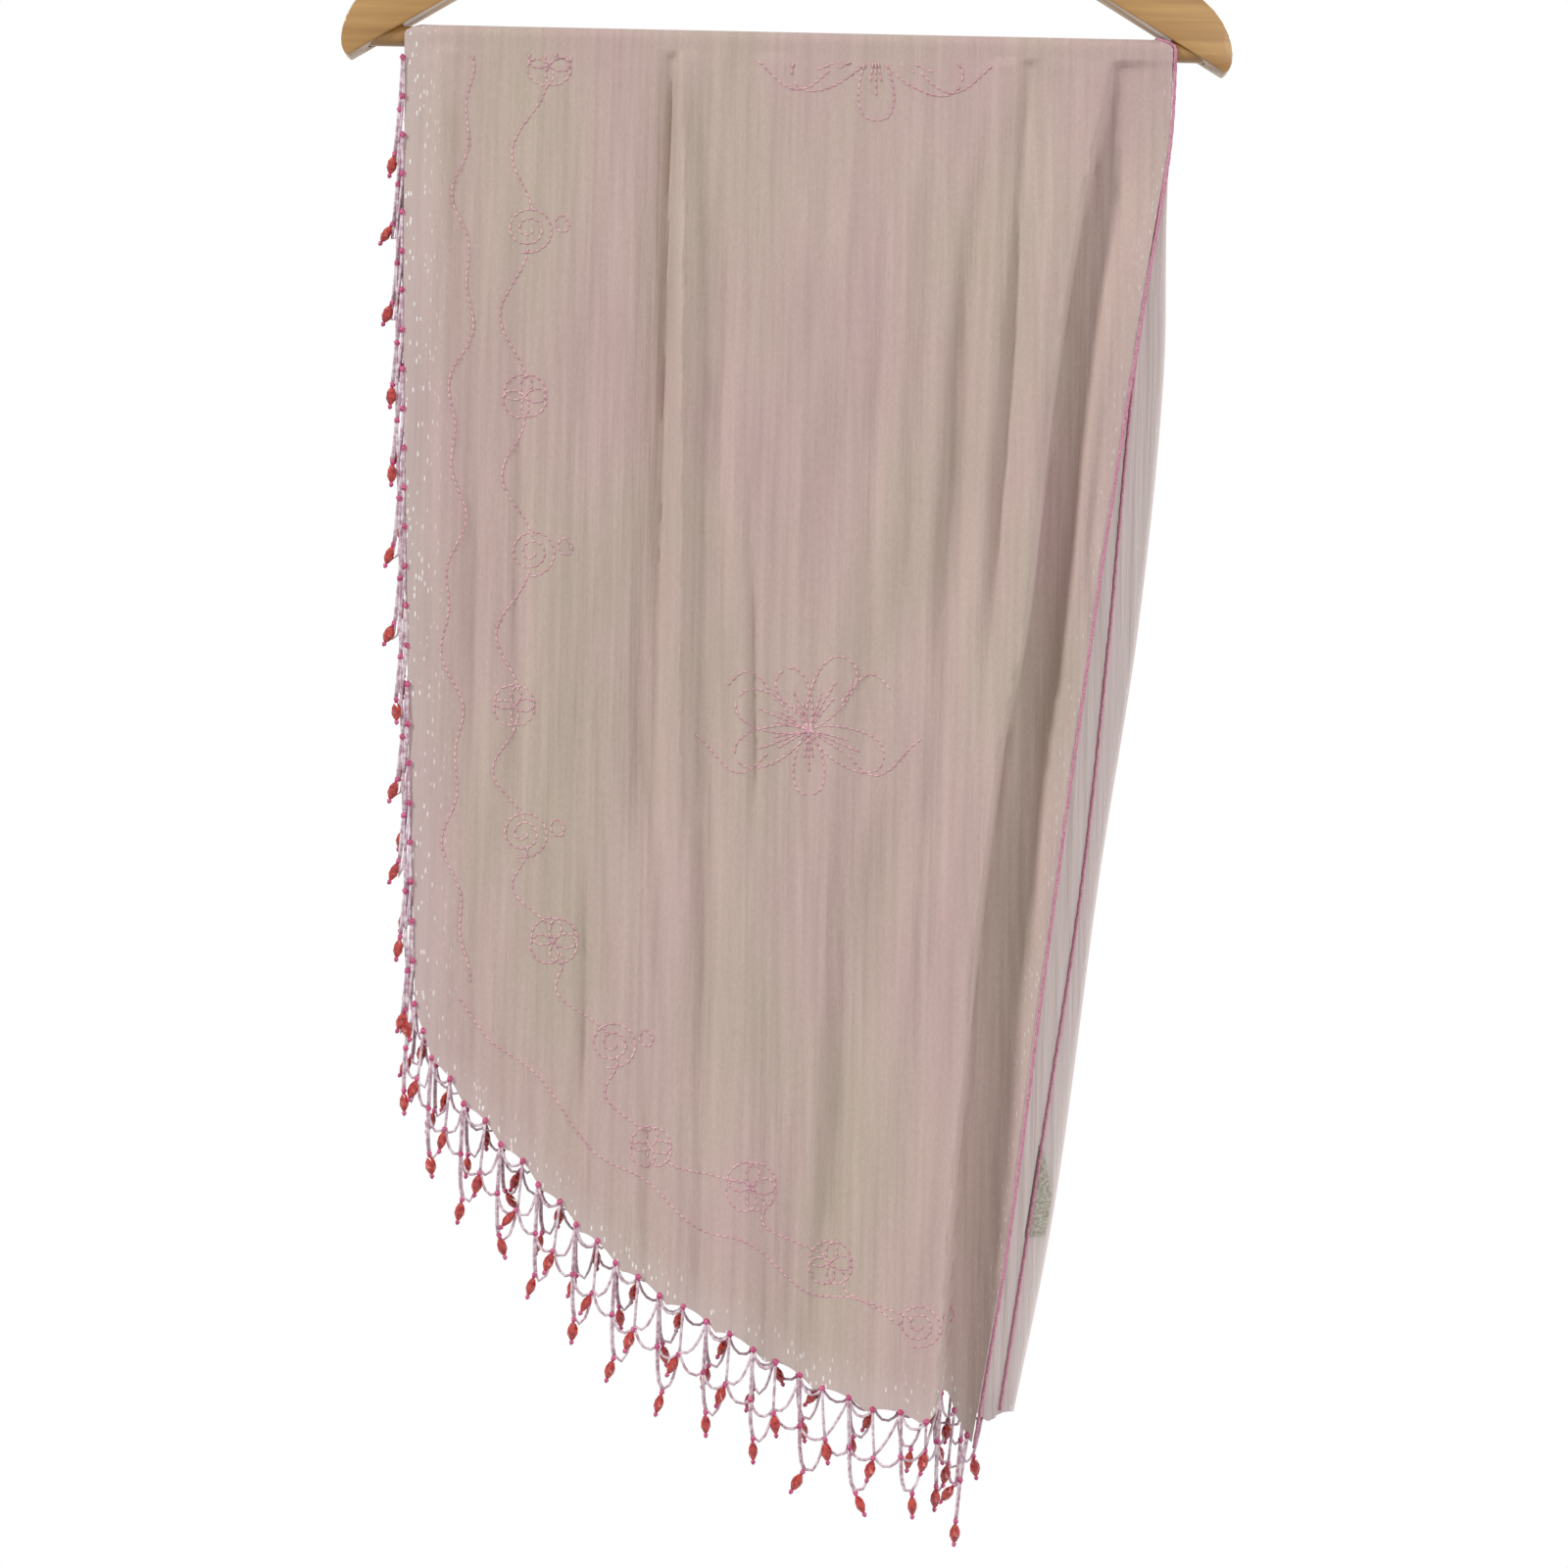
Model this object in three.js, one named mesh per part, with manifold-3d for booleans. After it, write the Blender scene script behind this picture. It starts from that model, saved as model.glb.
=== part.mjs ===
// A short sarong: one shaped piece of crinkled voile, folded in half over the trouser bar of a
// wooden clothes hanger, with a netted and beaded fringe along its cut edge and a rolled waist hem.
// Millimetres, +Z up, front of the garment towards -Y. The origin is where the hook bears on a
// rail: the underside of the wire at the crown of the hook. "drop" is the distance below the
// middle of the hanger's bar, so a point's z is BAR_Z - drop.

import * as THREE from 'three';
import { mergeVertices } from 'three/addons/utils/BufferGeometryUtils.js';
import Module from 'manifold-3d';

// ---------- driving dimensions ----------

const BAR_Z = -175;              // middle of the trouser bar
const BAR_RADIUS = 5;
const BAR_HALF_LENGTH = 211.5;
const BAR_SOCKET_RADIUS = 5.3;
const BAR_SOCKET_END = 212;

const HANGER_THICKNESS = 14;
const ARM_HEIGHT = 25;           // across the arm, square to its edges
const ARM_SLOPE = 0.6;           // fall of the straight outer part, per unit of length
const ARM_STRAIGHT_FROM = 120;   // x where the curved middle turns into the straight outer part
const ARM_TIP_X = 218;           // lowest point of the rounded end
const ARM_TIP_Z = -11;
const NECK_HALF_WIDTH = 12;
const NECK_RISE = 11;            // neck above the top of the arms

const WIRE_RADIUS = 2;
const HOOK_RADIUS = 20;          // centre line of the wire
const HOOK_TIP_ANGLE = 190;      // degrees, from +X towards +Z
const HOOK_THROAT_ANGLE = -40;
const SHANK_STRAIGHT_Z = -52;
const SHANK_END_Z = -76;
const SHANK_SOCKET_RADIUS = 2.3;
const SHANK_SOCKET_Z = -78;

const CLOTH_WALL = 1;
const CLEARANCE = 0.3;
const WRAP_RADIUS = BAR_RADIUS + CLEARANCE + CLOTH_WALL / 2;
const ARM_CLEAR_PULL = 9.5;      // the cloth is drawn in this much on top, between the arms
const WRAP_DROP = 8;             // the stretch over the bar ends this far below its middle
const FALL_STANDOFF = 9;         // how far each fall swings out from the bar as it comes down
const BACK_STANDOFF = 6;
const STANDOFF_DROP = 140;       // it has swung out fully this far down

const BACK_SHORTER = 18;         // the back fall ends this much above the front one
const TURN_RADIUS_TOP = 0.9;     // the folds of the back fall's return, at the bar and lower down
const TURN_RADIUS = 2;
const RETURN_WIDTH_TOP = 8;
const RETURN_WIDTH = 45;
const RETURN_DROP = 160;

const HEM_RADIUS = 0.9;
const HEM_LIFT = 0.5;            // keeps the thicker hem off the bar
const HEM_SEAT = 0.8;            // between a hem and the edge it finishes
const FRINGE_WALL = 2.4;
const FRINGE_REACH = 54;         // netting, knots and bead drops below the cut edge
const FRINGE_SIDE_REACH = 15;    // the same net where it hangs down beside an upright edge
const FRINGE_GAP = 0.9;
const FRINGE_DROP_GAP = 2.4;     // clear of the slanted hem, measured straight down
const LABEL_THICKNESS = 0.6;

// ---------- outlines: x in mm at each drop ----------

const SIDE_EDGE = [              // the fringed edge, on both falls
  { drop: -10, x: -190.5 },
  { drop: 180, x: -185.3 },
  { drop: 373, x: -178.3 },
  { drop: 489, x: -173.6 },
  { drop: 720, x: -166 },
];

const FRONT_WAIST_EDGE = [       // the rolled hem in front
  { drop: -10, x: 194 },
  { drop: 49, x: 191.5 },
  { drop: 127, x: 179.6 },
  { drop: 266, x: 160.6 },
  { drop: 430, x: 140.8 },
  { drop: 592, x: 122.9 },
  { drop: 700, x: 107.5 },
];

const BACK_WAIST_EDGE = [        // the rolled hem of the return in the back fall
  { drop: -10, x: 193 },
  { drop: 74, x: 188 },
  { drop: 161, x: 177 },
  { drop: 297, x: 167 },
  { drop: 419, x: 156 },
  { drop: 543, x: 139.5 },
  { drop: 700, x: 118 },
];

const BACK_FOLD_EDGE = [         // the fold where the back fall turns forward
  { drop: -10, x: 194 },
  { drop: 74, x: 192 },
  { drop: 161, x: 192.4 },
  { drop: 287, x: 182.3 },
  { drop: 409, x: 165.8 },
  { drop: 580, x: 146 },
  { drop: 700, x: 124.5 },
];

const CUT_HEM = [                // the slanted lower edge of the front fall
  { x: -176, drop: 466 },
  { x: -173, drop: 489 },
  { x: -160, drop: 517 },
  { x: -125, drop: 556.5 },
  { x: -65.5, drop: 615 },
  { x: -16, drop: 644 },
  { x: 37, drop: 673 },
  { x: 84, drop: 683 },
  { x: 93.5, drop: 674 },
  { x: 107.5, drop: 701 },
  { x: 130, drop: 703 },
];

// ---------- folds: a ridge (height above 0) or a trough (below 0) running down the cloth ----------

const FRONT_FOLDS = [
  { name: 'side_ridge', xTop: -171, xMid: -158, xLow: -146, from: -10, to: 330, width: 9, height: 3 },
  { name: 'tuck_trough', xTop: -53, xMid: -64, xLow: -72, from: -10, to: 430, width: 9, height: -4 },
  { name: 'tuck_ridge', xTop: -49, xMid: -43, xLow: -38, from: -10, to: 520, width: 9, height: 4 },
  { name: 'middle_ridge', xTop: -22, xMid: -14, xLow: -7, from: 130, to: 700, width: 12, height: 4.5 },
  { name: 'low_trough', xTop: 80, xMid: 60, xLow: 24, from: 360, to: 710, width: 14, height: -5 },
  { name: 'knot_trough', xTop: 103, xMid: 82, xLow: 62, from: 20, to: 330, width: 9, height: -4 },
];

const BACK_FOLDS = [
  { name: 'back_tuck', xTop: 60, xMid: 46, xLow: 30, from: -10, to: 720, width: 15, height: 6 },
  { name: 'back_trough', xTop: 84, xMid: 72, xLow: 58, from: 60, to: 720, width: 13, height: -4 },
  { name: 'back_side_ridge', xTop: -120, xMid: -104, xLow: -92, from: -10, to: 600, width: 14, height: 5 },
  { name: 'back_middle', xTop: -38, xMid: -30, xLow: -24, from: 90, to: 700, width: 16, height: 4 },
];

// The deep pleat beside the waist edge: a crisp lip, then a trough that rises slowly to the hem.
const PLEAT = [
  { drop: -10, lip: 164, floorEnd: 166, depth: 0.8, lipRise: 0.4 },
  { drop: 35, lip: 156, floorEnd: 161, depth: 5, lipRise: 1.5 },
  { drop: 84, lip: 146, floorEnd: 158, depth: 10, lipRise: 3 },
  { drop: 162, lip: 135, floorEnd: 143, depth: 11, lipRise: 5 },
  { drop: 289, lip: 123, floorEnd: 131, depth: 12, lipRise: 6 },
  { drop: 357, lip: 110.6, floorEnd: 126, depth: 13, lipRise: 7 },
  { drop: 551, lip: 93.8, floorEnd: 111, depth: 14, lipRise: 8 },
  { drop: 700, lip: 86.5, floorEnd: 101, depth: 14, lipRise: 8 },
];
const PLEAT_WALL = 4;            // width of the steep side of the trough
const PLEAT_LIP_WIDTH = 22;

// ---------- small helpers ----------

const clamp01 = (t) => Math.min(1, Math.max(0, t));
const mix = (a, b, t) => a + (b - a) * t;
const smooth = (t) => clamp01(t) ** 2 * (3 - 2 * clamp01(t));

// A smooth curve through one column of a table, read at a place along another column.
function track(rows, along, column) {
  const at = rows.map((row) => row[along]);
  const value = rows.map((row) => row[column]);
  const last = rows.length - 1;
  const slope = rows.map((row, i) => {
    const a = Math.max(0, i - 1);
    const b = Math.min(last, i + 1);
    return (value[b] - value[a]) / (at[b] - at[a]);
  });
  return (place) => {
    const p = Math.min(at[last], Math.max(at[0], place));
    let i = 0;
    while (i < last - 1 && p > at[i + 1]) {
      i += 1;
    }
    const span = at[i + 1] - at[i];
    const t = (p - at[i]) / span;
    const h00 = (1 + 2 * t) * (1 - t) ** 2;
    const h10 = t * (1 - t) ** 2;
    const h01 = t * t * (3 - 2 * t);
    const h11 = t * t * (t - 1);
    return h00 * value[i] + h10 * span * slope[i] + h01 * value[i + 1] + h11 * span * slope[i + 1];
  };
}

const sideEdge = track(SIDE_EDGE, 'drop', 'x');
const frontWaist = track(FRONT_WAIST_EDGE, 'drop', 'x');
const backWaist = track(BACK_WAIST_EDGE, 'drop', 'x');
const backFold = track(BACK_FOLD_EDGE, 'drop', 'x');
const cutHem = track(CUT_HEM, 'x', 'drop');
const pleatLip = track(PLEAT, 'drop', 'lip');
const pleatFloorEnd = track(PLEAT, 'drop', 'floorEnd');
const pleatDepth = track(PLEAT, 'drop', 'depth');
const pleatLipRise = track(PLEAT, 'drop', 'lipRise');

// ---------- the cloth's surface ----------

const FOLD_FADE = 70;            // a fold fades in and out over this length
const FOLD_MIDDLE = 340;
const FOLD_LOW = 680;

function foldCentre(fold, drop) {
  if (drop < FOLD_MIDDLE) {
    return mix(fold.xTop, fold.xMid, drop / FOLD_MIDDLE);
  }
  return mix(fold.xMid, fold.xLow, (drop - FOLD_MIDDLE) / (FOLD_LOW - FOLD_MIDDLE));
}

// A fold that starts on the bar is only a pinch there, and opens as the cloth comes down.
function foldRelief(folds, x, drop) {
  let relief = 0;
  for (const fold of folds) {
    const across = (x - foldCentre(fold, drop)) / fold.width;
    const starts = smooth((drop - fold.from) / FOLD_FADE + (fold.from < 0 ? 0.25 : 0));
    const ends = smooth((fold.to - drop) / FOLD_FADE);
    relief += fold.height * Math.exp(-across * across) * starts * ends;
  }
  return relief;
}

function pleatRelief(x, drop) {
  const lip = pleatLip(drop);
  const floorEnd = pleatFloorEnd(drop);
  if (x <= lip) {
    return pleatLipRise(drop) * Math.exp(-(((lip - x) / PLEAT_LIP_WIDTH) ** 2));
  }
  const down = smooth((x - lip) / PLEAT_WALL);
  const back = smooth((x - floorEnd) / 26);
  const floor = mix(-pleatDepth(drop), -0.25 * pleatDepth(drop), back);
  return mix(pleatLipRise(drop), floor, down);
}

const frontY = (x, drop) => -WRAP_RADIUS - FALL_STANDOFF * smooth(drop / STANDOFF_DROP)
  - foldRelief(FRONT_FOLDS, x, drop) - pleatRelief(x, drop);

const backY = (x, drop) => WRAP_RADIUS + BACK_STANDOFF * smooth(drop / STANDOFF_DROP)
  + foldRelief(BACK_FOLDS, x, drop) * smooth((backFold(drop) - 55 - x) / 30);

const backHem = (x) => Math.min(cutHem(x) - BACK_SHORTER, 685);

// The drop at which a line down the cloth meets the cut hem.
function footOf(xAt, hem) {
  let high = 300;
  let low = 720;
  for (let step = 0; step < 40; step += 1) {
    const middle = (high + low) / 2;
    if (middle < hem(xAt(middle))) {
      high = middle;
    } else {
      low = middle;
    }
  }
  return high;
}

const clothFrontX = (u, drop) => mix(sideEdge(drop), frontWaist(drop) - HEM_RADIUS - HEM_SEAT, u);

function frontPoint(u, v) {
  const foot = footOf((drop) => clothFrontX(u, drop), cutHem);
  const drop = mix(WRAP_DROP + CLEARANCE, foot, v);
  const x = clothFrontX(u, drop);
  return new THREE.Vector3(x, frontY(x, drop), BAR_Z - drop);
}

// The back fall in plan: the main stretch to the fold edge, a turn forward, a run back to the
// left, a second turn, and a run to the right that ends in the waist hem.
const turnRadius = (drop) => mix(TURN_RADIUS_TOP, TURN_RADIUS, smooth(drop / STANDOFF_DROP));
const returnWidth = (drop) => mix(RETURN_WIDTH_TOP, RETURN_WIDTH, smooth(drop / RETURN_DROP));
const clothBackX = (drop) => backWaist(drop) - HEM_RADIUS - HEM_SEAT;

function backPlan(stretch, along, drop) {
  const r = turnRadius(drop);
  const first = backFold(drop) - r;
  const second = first - returnWidth(drop);
  const y = WRAP_RADIUS + BACK_STANDOFF * smooth(drop / STANDOFF_DROP);
  const angle = Math.PI * (0.5 - along);
  if (stretch === 'main') {
    const x = mix(sideEdge(drop), first, along);
    return [x, backY(x, drop)];
  }
  if (stretch === 'first_turn') {
    return [first + r * Math.cos(angle), y - r + r * Math.sin(angle)];
  }
  if (stretch === 'leftward') {
    return [mix(first, second, along), y - 2 * r];
  }
  if (stretch === 'second_turn') {
    return [second - r * Math.cos(angle), y - 3 * r + r * Math.sin(angle)];
  }
  return [mix(second, clothBackX(drop), along), y - 4 * r];
}

const BACK_COLUMNS = [
  { stretch: 'main', steps: 24 },
  { stretch: 'first_turn', steps: 4 },
  { stretch: 'leftward', steps: 3 },
  { stretch: 'second_turn', steps: 4 },
  { stretch: 'rightward', steps: 4 },
];

function backStations() {
  const stations = [{ stretch: 'main', along: 0 }];
  for (const { stretch, steps } of BACK_COLUMNS) {
    for (let i = 1; i <= steps; i += 1) {
      stations.push({ stretch, along: i / steps });
    }
  }
  return stations;
}

const BACK_STATIONS = backStations();

function backPoint(u, v) {
  const { stretch, along } = BACK_STATIONS[Math.round(u * (BACK_STATIONS.length - 1))];
  const foot = footOf((drop) => backPlan(stretch, along, drop)[0], backHem);
  const drop = mix(WRAP_DROP + CLEARANCE, foot, v);
  const [x, y] = backPlan(stretch, along, drop);
  return new THREE.Vector3(x, y, BAR_Z - drop);
}

// Around the bar: a short straight stretch in front, half a turn over the top, one behind.
function wrapPoint(u, v) {
  const half = Math.PI * WRAP_RADIUS / 2;
  const total = 2 * (half + WRAP_DROP);
  const s = v * total - total / 2;
  const turn = Math.max(-Math.PI / 2, Math.min(Math.PI / 2, s / WRAP_RADIUS));
  const straight = Math.max(0, Math.abs(s) - half);
  const drop = straight - WRAP_RADIUS * Math.cos(turn);
  const edge = s < 0 ? frontWaist(drop) : mix(frontWaist(drop), backFold(drop), s / (total / 2));
  const drawnIn = ARM_CLEAR_PULL * Math.cos(turn) ** 2 * (straight > 0 ? 0 : 1);
  const x = mix(sideEdge(drop) + drawnIn, edge - HEM_RADIUS - CLEARANCE - drawnIn, u);
  const pinch = s < 0 ? -frontY(x, drop) - WRAP_RADIUS : backY(x, drop) - WRAP_RADIUS;
  const swing = s < 0 ? FALL_STANDOFF : BACK_STANDOFF;
  const out = pinch - swing * smooth(drop / STANDOFF_DROP) * (straight > 0 ? 0 : 1);
  const radius = WRAP_RADIUS + Math.max(0, out) * (straight > 0 ? 1 : Math.abs(Math.sin(turn)));
  return new THREE.Vector3(x, radius * Math.sin(turn), BAR_Z + WRAP_RADIUS * Math.cos(turn) - straight);
}

// ---------- solids ----------

// A closed wall of even thickness on a surface given point by point.
function wall(pointAt, columns, rows, thickness) {
  const grid = [];
  for (let j = 0; j <= rows; j += 1) {
    for (let i = 0; i <= columns; i += 1) {
      grid.push(pointAt(i / columns, j / rows));
    }
  }
  const width = columns + 1;
  const at = (i, j) => grid[Math.min(rows, Math.max(0, j)) * width + Math.min(columns, Math.max(0, i))];
  const positions = [];
  for (const side of [0.5, -0.5]) {
    for (let j = 0; j <= rows; j += 1) {
      for (let i = 0; i <= columns; i += 1) {
        const across = at(i + 1, j).clone().sub(at(i - 1, j));
        const down = at(i, j + 1).clone().sub(at(i, j - 1));
        const normal = across.cross(down).normalize();
        const p = at(i, j).clone().addScaledVector(normal, side * thickness);
        positions.push(p.x, p.y, p.z);
      }
    }
  }
  const faces = [];
  const quad = (a, b, c, d) => faces.push(a, b, c, a, c, d);
  const inner = width * (rows + 1);
  for (let j = 0; j < rows; j += 1) {
    for (let i = 0; i < columns; i += 1) {
      const a = j * width + i;
      quad(a, a + 1, a + width + 1, a + width);
      quad(inner + a, inner + a + width, inner + a + width + 1, inner + a + 1);
    }
  }
  for (let i = 0; i < columns; i += 1) {
    const last = rows * width + i;
    quad(i, inner + i, inner + i + 1, i + 1);
    quad(last, last + 1, inner + last + 1, inner + last);
  }
  for (let j = 0; j < rows; j += 1) {
    const left = j * width;
    const right = left + columns;
    quad(left, left + width, inner + left + width, inner + left);
    quad(right, inner + right, inner + right + width, right + width);
  }
  const geometry = new THREE.BufferGeometry();
  geometry.setAttribute('position', new THREE.Float32BufferAttribute(positions, 3));
  geometry.setIndex(faces);
  return geometry;
}

function disc(radius, sides) {
  const shape = new THREE.Shape();
  for (let i = 0; i < sides; i += 1) {
    const angle = (2 * Math.PI * i) / sides;
    const x = radius * Math.cos(angle);
    const y = radius * Math.sin(angle);
    if (i === 0) {
      shape.moveTo(x, y);
    } else {
      shape.lineTo(x, y);
    }
  }
  shape.closePath();
  return shape;
}

function rod(path, radius, sides, steps) {
  return new THREE.ExtrudeGeometry(disc(radius, sides), { steps, extrudePath: path });
}

// ---------- booleans ----------

const wasm = await Module();
wasm.setup();

function toManifold(geometry) {
  const bare = geometry.clone();
  for (const name of Object.keys(bare.attributes)) {
    if (name !== 'position') {
      bare.deleteAttribute(name);
    }
  }
  const merged = mergeVertices(bare, 1e-3);
  const corners = Array.from(merged.index.array);
  const faces = [];
  for (let i = 0; i < corners.length; i += 3) {
    const [a, b, c] = corners.slice(i, i + 3);
    if (a !== b && b !== c && c !== a) {
      faces.push(a, b, c);
    }
  }
  return new wasm.Manifold(new wasm.Mesh({
    numProp: 3,
    vertProperties: new Float32Array(merged.attributes.position.array),
    triVerts: new Uint32Array(faces),
  }));
}

function toGeometry(manifold) {
  const mesh = manifold.getMesh();
  const geometry = new THREE.BufferGeometry();
  geometry.setAttribute('position', new THREE.Float32BufferAttribute(mesh.vertProperties, 3));
  geometry.setIndex(Array.from(mesh.triVerts));
  return geometry;
}

function cut(geometry, tools) {
  let solid = toManifold(geometry);
  for (const tool of tools) {
    solid = solid.subtract(toManifold(tool));
  }
  return toGeometry(solid);
}

// ---------- the hanger ----------

const sloped = Math.atan(ARM_SLOPE);
const lowerEdgeAtBend = ARM_TIP_Z + ARM_SLOPE * (ARM_TIP_X - ARM_STRAIGHT_FROM);
const lowerArcRadius = ARM_STRAIGHT_FROM / Math.sin(sloped);
const lowerArcCentre = lowerEdgeAtBend - lowerArcRadius * Math.cos(sloped);
const upperArcRadius = lowerArcRadius + ARM_HEIGHT;
const armTop = lowerArcCentre + upperArcRadius;

function armsShape() {
  const bendX = upperArcRadius * Math.sin(sloped);
  const bendZ = lowerArcCentre + upperArcRadius * Math.cos(sloped);
  const neckAngle = Math.asin((NECK_HALF_WIDTH + 6) / upperArcRadius);
  const shoulderX = upperArcRadius * Math.sin(neckAngle);
  const shoulderZ = lowerArcCentre + upperArcRadius * Math.cos(neckAngle);
  const neckTop = armTop + NECK_RISE;
  const outerX = ARM_TIP_X - 12;
  const outerZ = bendZ - ARM_SLOPE * (outerX - bendX);
  const shape = new THREE.Shape();
  shape.moveTo(ARM_TIP_X, ARM_TIP_Z);
  shape.bezierCurveTo(224.5, -9, 223.5, 12, outerX, outerZ);
  shape.lineTo(bendX, bendZ);
  shape.absarc(0, lowerArcCentre, upperArcRadius, Math.PI / 2 - sloped, Math.PI / 2 - neckAngle, false);
  shape.quadraticCurveTo(NECK_HALF_WIDTH, shoulderZ + 1, NECK_HALF_WIDTH - 0.5, neckTop - 3);
  shape.quadraticCurveTo(NECK_HALF_WIDTH - 0.5, neckTop, NECK_HALF_WIDTH - 4, neckTop);
  shape.lineTo(-NECK_HALF_WIDTH + 4, neckTop);
  shape.quadraticCurveTo(-NECK_HALF_WIDTH + 0.5, neckTop, -NECK_HALF_WIDTH + 0.5, neckTop - 3);
  shape.quadraticCurveTo(-NECK_HALF_WIDTH, shoulderZ + 1, -shoulderX, shoulderZ);
  shape.absarc(0, lowerArcCentre, upperArcRadius, Math.PI / 2 + neckAngle, Math.PI / 2 + sloped, false);
  shape.lineTo(-outerX, outerZ);
  shape.bezierCurveTo(-223.5, 12, -224.5, -9, -ARM_TIP_X, ARM_TIP_Z);
  shape.lineTo(-ARM_STRAIGHT_FROM, lowerEdgeAtBend);
  shape.absarc(0, lowerArcCentre, lowerArcRadius, Math.PI / 2 + sloped, Math.PI / 2 - sloped, true);
  shape.closePath();
  return shape;
}

function hangerArms() {
  const outline = armsShape().getPoints(8).filter((p, i, all) => p.distanceTo(all.at(i - 1)) > 0.05);
  const geometry = new THREE.ExtrudeGeometry(new THREE.Shape(outline), {
    depth: HANGER_THICKNESS,
    bevelEnabled: false,
  });
  geometry.translate(0, 0, -HANGER_THICKNESS / 2);
  geometry.rotateX(Math.PI / 2);
  geometry.translate(0, 0, BAR_Z);
  const barBore = new THREE.CylinderGeometry(BAR_SOCKET_RADIUS, BAR_SOCKET_RADIUS, 2 * BAR_SOCKET_END, 20);
  barBore.rotateZ(Math.PI / 2);
  barBore.translate(0, 0, BAR_Z);
  const shankTop = BAR_Z + armTop + NECK_RISE + 5;
  const shankBore = new THREE.CylinderGeometry(
    SHANK_SOCKET_RADIUS,
    SHANK_SOCKET_RADIUS,
    shankTop - SHANK_SOCKET_Z,
    16,
  );
  shankBore.rotateX(Math.PI / 2);
  shankBore.translate(0, 0, (shankTop + SHANK_SOCKET_Z) / 2);
  return cut(geometry, [barBore, shankBore]);
}

function hangerBar() {
  const geometry = new THREE.CylinderGeometry(BAR_RADIUS, BAR_RADIUS, 2 * BAR_HALF_LENGTH, 20);
  geometry.rotateZ(Math.PI / 2);
  geometry.translate(0, 0, BAR_Z);
  return geometry;
}

class HookArc extends THREE.Curve {
  getPoint(t) {
    const angle = THREE.MathUtils.degToRad(mix(HOOK_TIP_ANGLE, HOOK_THROAT_ANGLE, t));
    const crown = WIRE_RADIUS - HOOK_RADIUS;
    return new THREE.Vector3(HOOK_RADIUS * Math.cos(angle), 0, crown + HOOK_RADIUS * Math.sin(angle));
  }
}

function hangerHook() {
  const arc = new HookArc();
  const throat = arc.getPoint(1);
  const heading = arc.getTangent(1);
  const shankStart = new THREE.Vector3(0, 0, SHANK_STRAIGHT_Z);
  const path = new THREE.CurvePath();
  path.add(arc);
  path.add(new THREE.CubicBezierCurve3(
    throat,
    throat.clone().addScaledVector(heading, 9),
    shankStart.clone().add(new THREE.Vector3(0, 0, 10)),
    shankStart,
  ));
  path.add(new THREE.LineCurve3(shankStart, new THREE.Vector3(0, 0, SHANK_END_Z)));
  return rod(path, WIRE_RADIUS, 10, 44);
}

// ---------- hems, fringe and label ----------

function hemAlong(pointAt, steps) {
  const points = [];
  for (let i = 0; i <= steps; i += 1) {
    points.push(pointAt(i / steps));
  }
  return rod(new THREE.CatmullRomCurve3(points), HEM_RADIUS, 6, steps);
}

const hemStart = WRAP_DROP + CLEARANCE;

function frontHemPoint(t) {
  const drop = mix(hemStart, 698, t);
  const x = frontWaist(drop);
  return new THREE.Vector3(x, frontY(x - HEM_RADIUS, drop), BAR_Z - drop);
}

function backHemPoint(t) {
  const drop = mix(hemStart, 680, t);
  const y = WRAP_RADIUS + BACK_STANDOFF * smooth(drop / STANDOFF_DROP) - 4 * turnRadius(drop);
  return new THREE.Vector3(backWaist(drop), y, BAR_Z - drop);
}

function wrapHemPoint(t) {
  const p = wrapPoint(1, t);
  const turn = Math.atan2(p.y, Math.max(0, p.z - BAR_Z));
  p.x += HEM_RADIUS + 3 * CLEARANCE;
  p.y += HEM_LIFT * Math.sin(turn);
  p.z += HEM_LIFT * Math.cos(turn);
  return p;
}

// The reach of the fringe: a thin band that hangs from the fringed edge of one fall. It runs down
// beside the upright edge, turns the rounded corner and follows the slanted hem.
function fringeBand(hem, surfaceY, sideEnd, hemEnd) {
  const sideShare = 0.5;
  return (u, v) => {
    const onSide = u < sideShare;
    const drop = mix(WRAP_DROP + 2, sideEnd, Math.min(1, u / sideShare));
    const hemX = mix(sideEdge(sideEnd), hemEnd, Math.max(0, (u - sideShare) / (1 - sideShare)));
    const x = onSide ? sideEdge(drop) : hemX;
    const edgeDrop = onSide ? drop : Math.max(sideEnd, hem(hemX));
    const turned = smooth((edgeDrop - sideEnd + 30) / 60);
    const gapX = -FRINGE_GAP;
    const gapDrop = FRINGE_DROP_GAP * turned;
    const reachX = -FRINGE_SIDE_REACH * (1 - turned) * smooth(1 - turned);
    const reachDrop = mix(6, FRINGE_REACH, turned);
    const y = surfaceY(Math.max(x, sideEdge(edgeDrop)), edgeDrop);
    return new THREE.Vector3(x + gapX + v * reachX, y, BAR_Z - edgeDrop - gapDrop - v * reachDrop);
  };
}

function careLabel() {
  const outline = [[120, 549], [139.5, 547], [144.5, 572], [141.8, 592], [122, 594]];
  const shape = new THREE.Shape(outline.map(([x, drop]) => new THREE.Vector2(x, -drop)));
  const geometry = new THREE.ExtrudeGeometry(shape, { depth: LABEL_THICKNESS, bevelEnabled: false });
  geometry.rotateX(Math.PI / 2);
  const returnBack = WRAP_RADIUS + BACK_STANDOFF - 4 * TURN_RADIUS + HEM_RADIUS;
  geometry.translate(0, returnBack + CLEARANCE + LABEL_THICKNESS, BAR_Z);
  return geometry;
}

// ---------- the object ----------

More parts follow.
